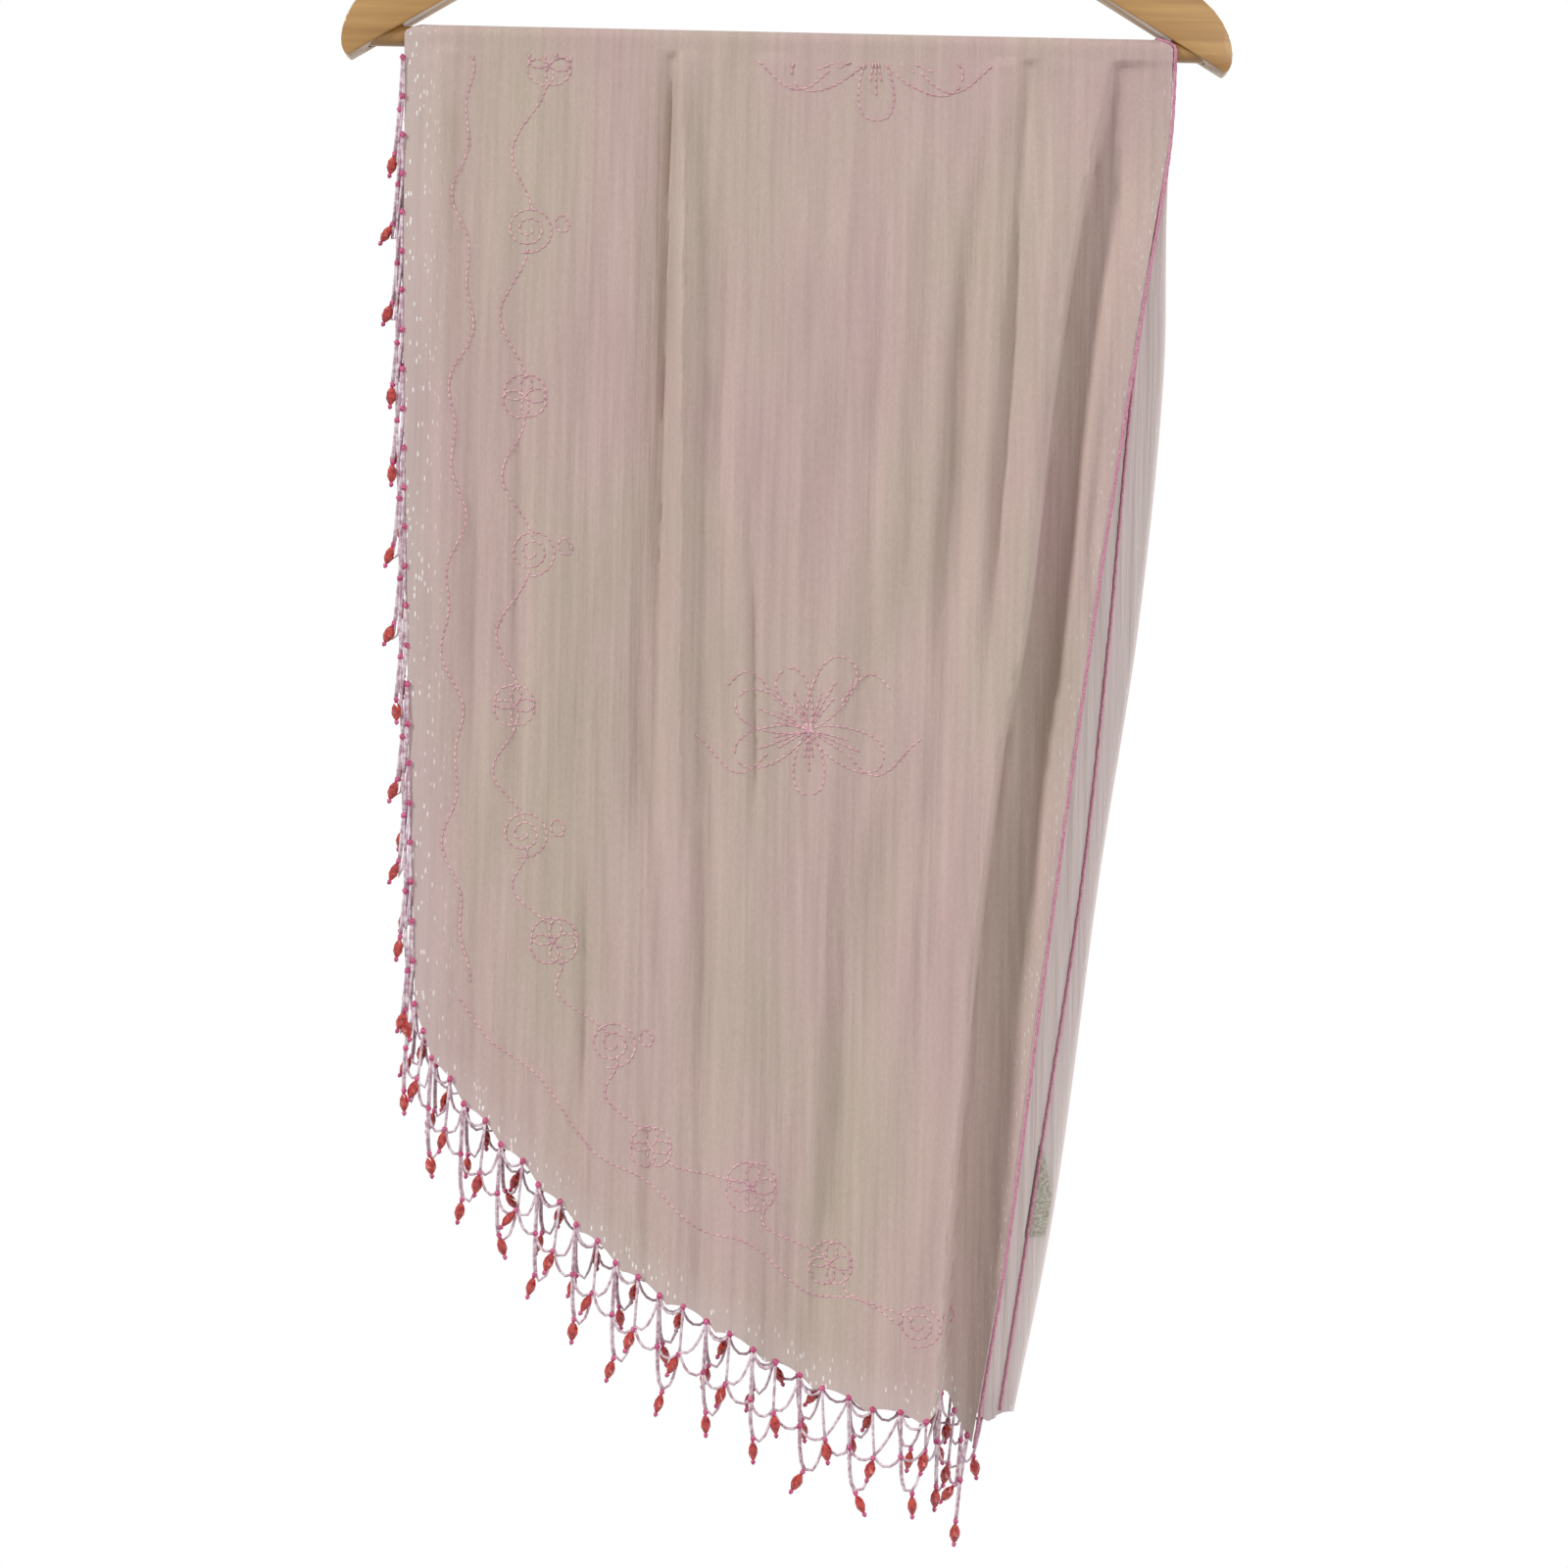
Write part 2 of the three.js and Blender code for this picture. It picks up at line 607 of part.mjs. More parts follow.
const voile = { color: 0xbfa89f, roughness: 0.8, metalness: 0 };
const rosyThread = { color: 0xb76f7c, roughness: 0.6, metalness: 0 };
const fringeThread = { color: 0xc04468, roughness: 0.6, metalness: 0 };
const honeyWood = { color: 0xb58a42, roughness: 0.45, metalness: 0 };
const steel = { color: 0xb8babd, roughness: 0.25, metalness: 1 };
const labelCloth = { color: 0xb0b09a, roughness: 0.8, metalness: 0 };

const model = new THREE.Group();

function add(name, geometry, look) {
  const mesh = new THREE.Mesh(geometry, new THREE.MeshStandardMaterial(look));
  mesh.name = name;
  model.add(mesh);
}

add('hanger_arms', hangerArms(), honeyWood);
add('hanger_bar', hangerBar(), honeyWood);
add('hanger_hook', hangerHook(), steel);
add('cloth_front_fall', wall(frontPoint, 38, 14, CLOTH_WALL), voile);
add('cloth_over_bar', wall(wrapPoint, 32, 10, CLOTH_WALL), voile);
add('cloth_back_fall', wall(backPoint, BACK_STATIONS.length - 1, 12, CLOTH_WALL), voile);
add('waist_hem_front', hemAlong(frontHemPoint, 24), rosyThread);
add('waist_hem_over_bar', hemAlong(wrapHemPoint, 12), rosyThread);
add('waist_hem_back', hemAlong(backHemPoint, 24), rosyThread);
add('fringe_front', wall(fringeBand(cutHem, frontY, 482, 84), 40, 2, FRINGE_WALL), fringeThread);
add('fringe_back', wall(fringeBand(backHem, backY, 464, 84), 40, 2, FRINGE_WALL), fringeThread);
add('care_label', careLabel(), labelCloth);

export default model;
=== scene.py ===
# %% [markdown]
# A short sarong hangs folded over the trouser bar of a wooden hanger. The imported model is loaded
# as a fixed frame: it says how high the bar is and how big everything is. Lengths below are in
# millimetres, as a maker would note them, and MM turns them into Blender's metres.

# %% Frame
import math

import bmesh
import bpy
import numpy as np
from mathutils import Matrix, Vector, noise


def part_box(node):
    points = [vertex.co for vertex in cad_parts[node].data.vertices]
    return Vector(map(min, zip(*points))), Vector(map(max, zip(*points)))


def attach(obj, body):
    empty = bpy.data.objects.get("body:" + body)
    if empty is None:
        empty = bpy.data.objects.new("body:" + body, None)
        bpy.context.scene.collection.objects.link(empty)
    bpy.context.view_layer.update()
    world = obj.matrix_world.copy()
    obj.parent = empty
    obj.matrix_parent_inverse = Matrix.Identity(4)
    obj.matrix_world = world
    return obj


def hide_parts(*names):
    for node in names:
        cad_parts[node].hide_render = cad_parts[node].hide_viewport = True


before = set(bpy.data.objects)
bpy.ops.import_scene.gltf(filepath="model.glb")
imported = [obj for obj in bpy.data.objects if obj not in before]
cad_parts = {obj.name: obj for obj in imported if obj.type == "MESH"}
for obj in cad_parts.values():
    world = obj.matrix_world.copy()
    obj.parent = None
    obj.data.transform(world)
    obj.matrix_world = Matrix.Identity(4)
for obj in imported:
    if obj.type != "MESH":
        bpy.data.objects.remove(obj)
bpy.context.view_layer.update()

MM = 0.001
bar_low, bar_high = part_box("hanger_bar")
BAR_Z = (bar_low[2] + bar_high[2]) / 2 / MM
BAR_RADIUS = (bar_high[2] - bar_low[2]) / 2 / MM
WALL = 0.5
WRAP = BAR_RADIUS + 0.8
WRAP_DROP = 8
FRONT_STANDOFF, BACK_STANDOFF, STANDOFF_DROP = 9, 6, 140
TURN_RADIUS_TOP, TURN_RADIUS = 0.9, 2
RETURN_WIDTH_TOP, RETURN_WIDTH, RETURN_DROP = 8, 45, 160
BACK_SHORTER = 18
HEM_WIDTH = 1.5
CRINKLE = 1.0
FOLD_ON_BAR = 0.6
print("bar at", round(BAR_Z), "mm, radius", round(BAR_RADIUS, 1))

# %% [markdown]
# The camera stands level in front of the cloth and is turned a little about its own line of sight,
# because the hanger doesn't hang quite level. A long lens keeps the sides of the cloth upright.

# %% Camera and light
camera_data = bpy.data.cameras.new("camera")
camera = bpy.data.objects.new("camera", camera_data)
bpy.context.scene.collection.objects.link(camera)
camera.location = (0.0063, -1.55, -0.544)
camera.rotation_euler = (math.pi / 2, math.radians(-1.2), 0)
camera_data.lens = 71.3
bpy.context.scene.camera = camera
bpy.context.scene.view_settings.view_transform = "Standard"


def sun(name, strength, softness, tilt, turn):
    data = bpy.data.lights.new(name, "SUN")
    data.energy = strength
    data.angle = math.radians(softness)
    lamp = bpy.data.objects.new(name, data)
    bpy.context.scene.collection.objects.link(lamp)
    lamp.rotation_euler = (math.radians(tilt), 0, math.radians(turn))


sun("key", 1.9, 9, 62, -56)
sun("fill", 0.75, 30, 74, 38)
sun("side", 0.8, 30, 84, 80)
sun("behind", 1.2, 30, -66, -20)

world = bpy.data.worlds.new("studio")
bpy.context.scene.world = world
world.use_nodes = True
tree = world.node_tree
background = tree.nodes["Background"]
background.inputs["Color"].default_value = (1, 1, 1, 1)
paths = tree.nodes.new("ShaderNodeLightPath")
seen = tree.nodes.new("ShaderNodeMath")
seen.operation = "MAXIMUM"
tree.links.new(paths.outputs["Is Camera Ray"], seen.inputs[0])
tree.links.new(paths.outputs["Is Glossy Ray"], seen.inputs[1])
level = tree.nodes.new("ShaderNodeMapRange")
level.inputs["To Min"].default_value = 0.4
level.inputs["To Max"].default_value = 1.0
tree.links.new(seen.outputs[0], level.inputs["Value"])
tree.links.new(level.outputs["Result"], background.inputs["Strength"])
print("lights:", len(bpy.data.lights))

# %% [markdown]
# Materials come from a few helpers. Each starts from one Principled shader, and its colour and bump
# are driven by noise and cells in Object coordinates, so they show in any view.


# %% Material helpers
def material(name, colour, roughness, **sockets):
    mat = bpy.data.materials.new(name)
    mat.use_nodes = True
    shader = mat.node_tree.nodes["Principled BSDF"]
    shader.inputs["Base Color"].default_value = (*colour, 1)
    shader.inputs["Roughness"].default_value = roughness
    for socket, value in sockets.items():
        shader.inputs[socket.replace("_", " ")].default_value = value
    return mat, mat.node_tree, shader


def texture(tree, kind, stretch, **values):
    where = tree.nodes.new("ShaderNodeTexCoord")
    mapping = tree.nodes.new("ShaderNodeMapping")
    mapping.inputs["Scale"].default_value = stretch
    node = tree.nodes.new(kind)
    tree.links.new(where.outputs["Object"], mapping.inputs["Vector"])
    tree.links.new(mapping.outputs["Vector"], node.inputs["Vector"])
    for socket, value in values.items():
        node.inputs[socket].default_value = value
    return node


def ramp(tree, source, stops):
    node = tree.nodes.new("ShaderNodeValToRGB")
    tree.links.new(source, node.inputs["Fac"])
    for i, (place, colour) in enumerate(stops):
        stop = node.color_ramp.elements[i] if i < 2 else node.color_ramp.elements.new(place)
        stop.position = place
        stop.color = (*colour, 1)
    return node.outputs["Color"]


def blend(tree, kind, amount, a, b):
    node = tree.nodes.new("ShaderNodeMix")
    node.data_type = "RGBA"
    node.blend_type = kind
    for value, socket in ((amount, node.inputs["Factor"]), (a, node.inputs["A"]), (b, node.inputs["B"])):
        if hasattr(value, "links"):
            tree.links.new(value, socket)
        else:
            socket.default_value = value
    return [o for o in node.outputs if o.type == "RGBA"][0]


def bump(tree, shader, height, strength, distance):
    node = tree.nodes.new("ShaderNodeBump")
    node.inputs["Strength"].default_value = strength
    node.inputs["Distance"].default_value = distance
    tree.links.new(height, node.inputs["Height"])
    tree.links.new(node.outputs["Normal"], shader.inputs["Normal"])


# %% [markdown]
# The voile is dusty pink, warmer and cooler in soft upright streaks, with a fine crinkle whose troughs
# carry painted shade and whose crests carry painted light. A pale metallic thread is woven into a band
# along the edges: an attribute called "band", painted when the sheet is made, says where, and small cells
# scatter painted glints on it as near-white spots. A second one, "single", marks where one layer hangs by
# itself. Light comes through it there, and that light is painted as a paler colour.


# %% Voile
def voile_material():
    mat, tree, shader = material("voile", (0.5, 0.37, 0.33), 0.72, Sheen_Weight=0.25)
    shader.inputs["Specular IOR Level"].default_value = 0.25
    clouds = texture(tree, "ShaderNodeTexNoise", (9, 9, 4), Scale=1.6, Detail=3)
    streaks = texture(tree, "ShaderNodeTexNoise", (260, 60, 9), Scale=1, Detail=4)
    weave = texture(tree, "ShaderNodeTexNoise", (900, 500, 500), Scale=1, Detail=2)
    base = ramp(tree, clouds.outputs["Fac"], [
        (0.34, (0.565, 0.41, 0.385)), (0.68, (0.52, 0.425, 0.35)), (0.5, (0.555, 0.43, 0.375))])
    # Painted shade and light: the crinkle's own noise darkens the colour in its troughs and lightens it on
    # its crests.
    crinkle_shading = ramp(tree, streaks.outputs["Fac"], [(0.3, (0.88, 0.86, 0.86)), (0.7, (1.05, 1.05, 1.05))])
    base = blend(tree, "MULTIPLY", 0.8, base, crinkle_shading)
    thread = ramp(tree, weave.outputs["Fac"], [(0.35, (0.93, 0.93, 0.93)), (0.65, (1.04, 1.04, 1.04))])
    base = blend(tree, "MULTIPLY", 0.7, base, thread)
    band = tree.nodes.new("ShaderNodeAttribute")
    band.attribute_name = "band"
    single = tree.nodes.new("ShaderNodeAttribute")
    single.attribute_name = "single"
    # Painted light: where "single" is set, the colour turns paler for light coming through one layer.
    base = blend(tree, "MIX", single.outputs["Fac"], base, (0.86, 0.76, 0.73, 1))
    silvered = tree.nodes.new("ShaderNodeMath")
    silvered.operation = "MULTIPLY"
    silvered.inputs[1].default_value = 0.45
    tree.links.new(band.outputs["Fac"], silvered.inputs[0])
    base = blend(tree, "MIX", silvered.outputs[0], base, (0.62, 0.52, 0.51, 1))
    # Painted glints: a few cells inside the band turn the colour near white, painted highlights of the
    # metallic thread.
    cells = texture(tree, "ShaderNodeTexVoronoi", (620, 620, 170), Scale=1)
    glint = tree.nodes.new("ShaderNodeMath")
    glint.operation = "LESS_THAN"
    glint.inputs[1].default_value = 0.24
    tree.links.new(cells.outputs["Distance"], glint.inputs[0])
    chance = tree.nodes.new("ShaderNodeSeparateColor")
    tree.links.new(cells.outputs["Color"], chance.inputs["Color"])
    few = tree.nodes.new("ShaderNodeMath")
    few.operation = "GREATER_THAN"
    few.inputs[1].default_value = 0.5
    tree.links.new(chance.outputs["Red"], few.inputs[0])
    glinting = tree.nodes.new("ShaderNodeMath")
    glinting.operation = "MULTIPLY"
    tree.links.new(glint.outputs[0], glinting.inputs[0])
    tree.links.new(few.outputs[0], glinting.inputs[1])
    shown = tree.nodes.new("ShaderNodeMath")
    shown.operation = "MULTIPLY"
    tree.links.new(glinting.outputs[0], shown.inputs[0])
    tree.links.new(band.outputs["Fac"], shown.inputs[1])
    base = blend(tree, "MIX", shown.outputs[0], base, (0.95, 0.93, 0.92, 1))
    tree.links.new(base, shader.inputs["Base Color"])
    bump(tree, shader, streaks.outputs["Fac"], 0.7, 0.0014)
    return mat


def varied_material(name, dark, light, roughness, scale, **sockets):
    mat, tree, shader = material(name, light, roughness, **sockets)
    spots = texture(tree, "ShaderNodeTexNoise", (scale, scale, scale), Scale=1, Detail=2)
    colours = ramp(tree, spots.outputs["Fac"], [(0.38, dark), (0.62, light)])
    tree.links.new(colours, shader.inputs["Base Color"])
    bump(tree, shader, spots.outputs["Fac"], 0.3, 0.0002)
    return mat


def wood_material():
    mat, tree, shader = material("honey_wood", (0.46, 0.25, 0.07), 0.38, Coat_Weight=0.35)
    grain = texture(tree, "ShaderNodeTexNoise", (9, 60, 160), Scale=1, Detail=6)
    tree.links.new(ramp(tree, grain.outputs["Fac"], [
        (0.3, (0.33, 0.155, 0.04)), (0.7, (0.53, 0.30, 0.095))]), shader.inputs["Base Color"])
    bump(tree, shader, grain.outputs["Fac"], 0.15, 0.0004)
    return mat


VOILE = voile_material()
ROSY = varied_material("rosy_thread", (0.46, 0.16, 0.25), (0.62, 0.29, 0.37), 0.55, 900)
STITCH = varied_material("stitch_thread", (0.66, 0.36, 0.43), (0.84, 0.54, 0.57), 0.35, 120)
NET = varied_material("net_thread", (0.50, 0.30, 0.37), (0.80, 0.68, 0.72), 0.45, 420)
KNOT = varied_material("magenta_knot", (0.50, 0.045, 0.16), (0.74, 0.14, 0.32), 0.35, 500)
RUBY = varied_material("ruby_bead", (0.30, 0.003, 0.015), (0.58, 0.05, 0.025), 0.2, 520, Coat_Weight=0.3)
LABEL = varied_material("label_cloth", (0.40, 0.38, 0.30), (0.66, 0.63, 0.54), 0.8, 600)
STEEL = varied_material("bright_wire", (0.55, 0.55, 0.57), (0.72, 0.72, 0.74), 0.22, 300, Metallic=1.0)
WOOD = wood_material()
print("materials:", len(bpy.data.materials))

# %% [markdown]
# The cloth follows a few outlines, read as smooth curves through short tables: x at each drop below
# the bar for upright edges, and the drop of the slanted hem at each x.

# %% Outlines
SIDE_EDGE = [(-10, -190.5), (180, -185.3), (373, -178.3), (489, -173.6), (720, -166)]
FRONT_WAIST = [(-10, 194), (49, 191.5), (127, 179.6), (266, 160.6), (430, 140.8), (592, 122.9), (700, 107.5)]
BACK_WAIST = [(-10, 193), (74, 188), (161, 177), (297, 167), (419, 156), (543, 139.5), (700, 118)]
BACK_FOLD = [(-10, 194), (74, 192), (161, 192.4), (287, 182.3), (409, 165.8), (580, 146), (700, 124.5)]
CUT_HEM = [(-176, 466), (-173, 489), (-160, 517), (-125, 556.5), (-65.5, 615), (-16, 644), (37, 673),
           (84, 683), (93.5, 674), (107.5, 701), (130, 703)]
# drop, lip, floor end, depth, rise of the lip
PLEAT = [(-10, 164, 166, 0.8, 0.4), (35, 156, 161, 5, 1.5), (84, 146, 158, 10, 3), (162, 135, 143, 11, 5),
         (289, 123, 131, 12, 6), (357, 110.6, 126, 13, 7), (551, 93.8, 111, 14, 8), (700, 86.5, 101, 14, 8)]
# x at the top, middle and foot, from, to, width, height (troughs are below 0)
FRONT_FOLDS = [
    (-171, -158, -146, -10, 330, 8, 4), (-53, -64, -72, -10, 430, 7, -3), (-49, -43, -38, -10, 520, 7, 4),
    (-22, -14, -7, 130, 700, 12, 4.5), (80, 60, 24, 360, 710, 14, -5), (103, 82, 62, 20, 330, 9, -4),
]
CREASES = [
    (-150, -147, -140, 30, 560, 5, -1.2), (-96, -92, -86, 380, 560, 4, -2.2),
    (-70, -62, -55, 480, 640, 4, -2), (-20, -9, 6, 200, 420, 3.5, -2.2),
    (8, 14, 20, 60, 380, 6, 1.4), (34, 30, 22, 250, 640, 6, 1.6),
    (66, 56, 48, 20, 300, 6, 1.8), (86, 74, 58, 60, 520, 5, 1.6),
    (118, 95, 78, 60, 640, 5, 1.5), (178, 140, 128, 60, 480, 4, 2.2),
    (150, 112, 92, 120, 680, 7, 1.2), (-112, -108, -100, 90, 420, 8, 1.2),
    (-34, -30, -28, 330, 660, 7, -1.4), (172, 150, 130, 20, 300, 5, -1.4),
    (-51, -46, -40, -10, 420, 3.5, 3.6), (-56, -57, -60, -10, 430, 3, -2),
    (108, 96, 84, -10, 260, 5, 2.4), (122, 106, 94, -10, 330, 4, -2.4),
    (-6, -2, 4, -10, 200, 8, 1.2), (-30, -24, -20, 60, 330, 4, -1.5),
    (136, 120, 104, 40, 420, 4, 1.8), (50, 46, 40, 120, 420, 4, -1.6),
    (-130, -126, -118, 120, 420, 5, -1.6),
]
BACK_FOLDS = [
    (60, 46, 30, -10, 720, 15, 6), (84, 72, 58, 60, 720, 13, -4),
    (-120, -104, -92, -10, 600, 14, 5), (-38, -30, -24, 90, 700, 16, 4),
]


def track(rows, column=1):
    at = np.array([row[0] for row in rows], float)
    value = np.array([row[column] for row in rows], float)
    ends = np.arange(len(at))
    before, after = np.maximum(ends - 1, 0), np.minimum(ends + 1, len(at) - 1)
    slope = (value[after] - value[before]) / (at[after] - at[before])

    def read(place):
        p = np.clip(place, at[0], at[-1])
        i = np.clip(np.searchsorted(at, p, side="right") - 1, 0, len(at) - 2)
        span = at[i + 1] - at[i]
        t = (p - at[i]) / span
        return ((1 + 2 * t) * (1 - t) ** 2 * value[i] + t * (1 - t) ** 2 * span * slope[i]
                + t * t * (3 - 2 * t) * value[i + 1] + t * t * (t - 1) * span * slope[i + 1])
    return read


side_edge, front_waist, back_waist = track(SIDE_EDGE), track(FRONT_WAIST), track(BACK_WAIST)
back_fold, cut_hem = track(BACK_FOLD), track(CUT_HEM)
pleat_lip, pleat_floor, pleat_depth, pleat_rise = (track(PLEAT, i) for i in (1, 2, 3, 4))
print("cloth on the bar from", side_edge(0).round(1), "to", front_waist(0).round(1))


def mix(a, b, t):
    return a + (b - a) * t


def smooth(t):
    t = np.clip(t, 0, 1)
    return t * t * (3 - 2 * t)


# %% [markdown]
# Folds are soft ridges and troughs that run down the cloth and fade in and out. The deep pleat by
# the waist hem is its own shape: a crisp lip, a steep wall and a floor that rises slowly.


# %% Surface of each fall
def folds(rows, x, drop):
    relief = 0 * x
    for top, middle, foot, start, end, width, height in rows:
        centre = np.where(drop < 340, mix(top, middle, drop / 340), mix(middle, foot, (drop - 340) / 340))
        fade = smooth((drop - start) / 70 + (0.25 if start < 0 else 0)) * smooth((end - drop) / 70)
        relief = relief + height * np.exp(-(((x - centre) / width) ** 2)) * fade
    return relief


def pleat(x, drop):
    lip, depth, rise = pleat_lip(drop), pleat_depth(drop), pleat_rise(drop)
    left = rise * np.exp(-(((lip - x) / 22) ** 2))
    floor = mix(-depth, -0.25 * depth, smooth((x - pleat_floor(drop)) / 26))
    return np.where(x <= lip, left, mix(rise, floor, smooth((x - lip) / 4)))


def front_y(x, drop):
    relief = folds(FRONT_FOLDS, x, drop) + 1.5 * folds(CREASES, x, drop) + pleat(x, drop)
    return -WRAP - FRONT_STANDOFF * smooth(drop / STANDOFF_DROP) - relief


def back_flat(drop):
    return WRAP + BACK_STANDOFF * smooth(drop / STANDOFF_DROP)


def turn_radius(drop):
    return mix(TURN_RADIUS_TOP, TURN_RADIUS, smooth(drop / STANDOFF_DROP))


def back_y(x, drop):
    away_from_fold = smooth((back_fold(drop) - 55 - x) / 30)
    return back_flat(drop) + folds(BACK_FOLDS + CREASES[:8], x, drop) * away_from_fold


KNOT_PITCH = 28
SIDE_PITCH = 19.5


def hem_table(shorter):
    x = np.linspace(-174, 124, 600)
    drop = cut_hem(x) - shorter
    run = np.concatenate([[0], np.cumsum(np.hypot(np.diff(x), np.diff(drop)))])
    return x, drop, run


def scalloped(shorter, depth=4.5):
    x, drop, run = hem_table(shorter)
    lift = depth * np.abs(np.sin(math.pi * run / KNOT_PITCH)) ** 0.8
    return lambda place: np.interp(place, x, np.minimum(drop, 699) - lift)


def feet(x_at, hem):
    high, low = 300 + 0 * x_at(300.0), 720 + 0 * x_at(300.0)
    for _ in range(34):
        middle = (high + low) / 2
        above = middle < hem(x_at(middle))
        high, low = np.where(above, middle, high), np.where(above, low, middle)
    return high


def crinkle(points, strength):
    for p in points:
        fine = noise.noise(Vector((p[0] * 0.3 + 0.02 * p[2], 0.5, p[2] * 0.03)))
        wide = noise.noise(Vector((p[0] * 0.07, 3.1, p[2] * 0.012)))
        p[1] += strength * (0.5 * fine + 1.1 * wide)
    return points


# %% [markdown]
# A sheet is a grid of points on that surface, given a real thickness by Solidify. The band of
# metallic thread is painted as an attribute: how near each point is to an edge.


# %% Building a sheet
def finish(obj, mat, slot, *nodes):
    obj.data.materials.clear()
    obj.data.materials.append(mat)
    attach(obj, "root")
    if nodes:
        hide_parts(*nodes)
    print(obj.name, len(obj.data.polygons), "faces")
    return obj


def mesh_object(name, points, faces, smooth_shading=True):
    mesh = bpy.data.meshes.new(name)
    mesh.from_pydata([tuple(c * MM for c in p) for p in points], [], faces)
    obj = bpy.data.objects.new(name, mesh)
    bpy.context.scene.collection.objects.link(obj)
    mesh.polygons.foreach_set("use_smooth", [smooth_shading] * len(mesh.polygons))
    return obj


def sheet(name, grid, band, single, thickness):
    rows, columns = grid.shape[:2]
    a = np.arange(rows * columns).reshape(rows, columns)
    faces = np.stack([a[:-1, :-1], a[1:, :-1], a[1:, 1:], a[:-1, 1:]], -1).reshape(-1, 4).tolist()
    obj = mesh_object(name, grid.reshape(-1, 3), faces)
    for label, values in (("band", band), ("single", single)):
        layer = obj.data.attributes.new(label, "FLOAT", "POINT")
        layer.data.foreach_set("value", values.reshape(-1).astype(np.float32))
    wall = obj.modifiers.new("wall", "SOLIDIFY")
    wall.thickness = thickness * MM
    wall.offset = 0
    bpy.ops.object.select_all(action="DESELECT")
    bpy.context.view_layer.objects.active = obj
    obj.select_set(True)
    bpy.ops.object.modifier_apply(modifier="wall")
    bpy.ops.object.shade_smooth_by_angle(angle=math.radians(60))
    return obj


def edge_band(x, drop, hem, left, right):
    near = np.minimum(x - left, hem(x) - drop)
    band = smooth(1 - near / 26) * 0.9
    return np.maximum(band, smooth(1 - (right - x) / 14) * 0.35)


print("pleat floor 300 mm down is at y", round(float(front_y(130.0, 300.0)), 1), "mm")
COLUMNS, FALL_ROWS = 190, 190
u = np.linspace(0, 1, COLUMNS)
front_hem = scalloped(0)


def front_x(drop):
    return mix(side_edge(drop), front_waist(drop) - HEM_WIDTH, u)


foot = feet(front_x, front_hem)
fall = []
for v in np.linspace(1, 0, FALL_ROWS):
    drop = mix(WRAP_DROP, foot, v)
    x = front_x(drop)
    fall.append(np.stack([x, front_y(x, drop), BAR_Z - drop], -1))
for v in np.linspace(0, 1, 22)[1:]:
    half = math.pi * WRAP / 2
    run = mix(-half - WRAP_DROP, half + WRAP_DROP, v)
    turn = max(-math.pi / 2, min(math.pi / 2, run / WRAP))
    straight = max(0.0, abs(run) - half)
    drop = np.full(COLUMNS, straight - WRAP * math.cos(turn))
    drawn = 9.5 * math.cos(turn) ** 2
    x = mix(side_edge(drop) + drawn, front_waist(drop) - HEM_WIDTH - drawn, u)
    relief = folds(FRONT_FOLDS, x, drop) + pleat(x, drop) if run < 0 else folds(BACK_FOLDS, x, drop)
    radius = WRAP + np.maximum(0, FOLD_ON_BAR * relief) * abs(math.sin(turn))
    z = BAR_Z + WRAP * math.cos(turn) - straight
    y = radius * math.sin(turn)
    if run > half:
        y = mix(y, back_y(x, drop), smooth(straight / WRAP_DROP))
    fall.append(np.stack([x, y, np.full(COLUMNS, z)], -1))
front_grid = np.array(fall)
front_drop = BAR_Z - front_grid[..., 2]
front_band = edge_band(front_grid[..., 0], front_drop, front_hem,
                       side_edge(front_drop), front_waist(front_drop))
crinkle(front_grid[:FALL_ROWS - 2].reshape(-1, 3), CRINKLE)
cloth_front = finish(sheet("cloth_front", front_grid, front_band, 0 * front_band, WALL), VOILE, "voile",
                     "cloth_front_fall", "cloth_over_bar")

# %% [markdown]
# The back fall turns forward at its right edge, runs back to the left behind the front fall, and
# turns once more, so that its own waist hem shows beside the front one.

# %% Back fall
back_hem_line = scalloped(BACK_SHORTER)
MAIN_STEPS, PALE_STEPS = 150, 12
TURNS = [("main", MAIN_STEPS), ("turn", 8), ("left", 16), ("turn_back", 8), ("right", 24)]


def back_stations():
    stations = [("main", 0.0)]
    for stretch, steps in TURNS:
        stations += [(stretch, i / steps) for i in range(1, steps + 1)]
    return stations


STATIONS = back_stations()


def back_plan(drop):
    drop = np.broadcast_to(np.asarray(drop, float), (len(STATIONS),))
    radius = turn_radius(drop)
    first = back_fold(drop) - radius
    second = first - mix(RETURN_WIDTH_TOP, RETURN_WIDTH, smooth(drop / RETURN_DROP))
    flat = back_flat(drop)
    x, y = np.zeros(len(STATIONS)), np.zeros(len(STATIONS))
    for i, (stretch, t) in enumerate(STATIONS):
        r, angle = radius[i], math.pi * (0.5 - t)
        if stretch == "main":
            x[i] = mix(side_edge(drop[i]), first[i], t)
            y[i] = back_y(x[i], drop[i])
        elif stretch == "turn":
            x[i], y[i] = first[i] + r * math.cos(angle), flat[i] - r + r * math.sin(angle)
        elif stretch == "left":
            x[i], y[i] = mix(first[i], second[i], t), flat[i] - 2 * r
        elif stretch == "turn_back":
            x[i], y[i] = second[i] - r * math.cos(angle), flat[i] - 3 * r + r * math.sin(angle)
        else:
            x[i], y[i] = mix(second[i], back_waist(drop[i]) - HEM_WIDTH, t), flat[i] - 4 * r
    return x, y


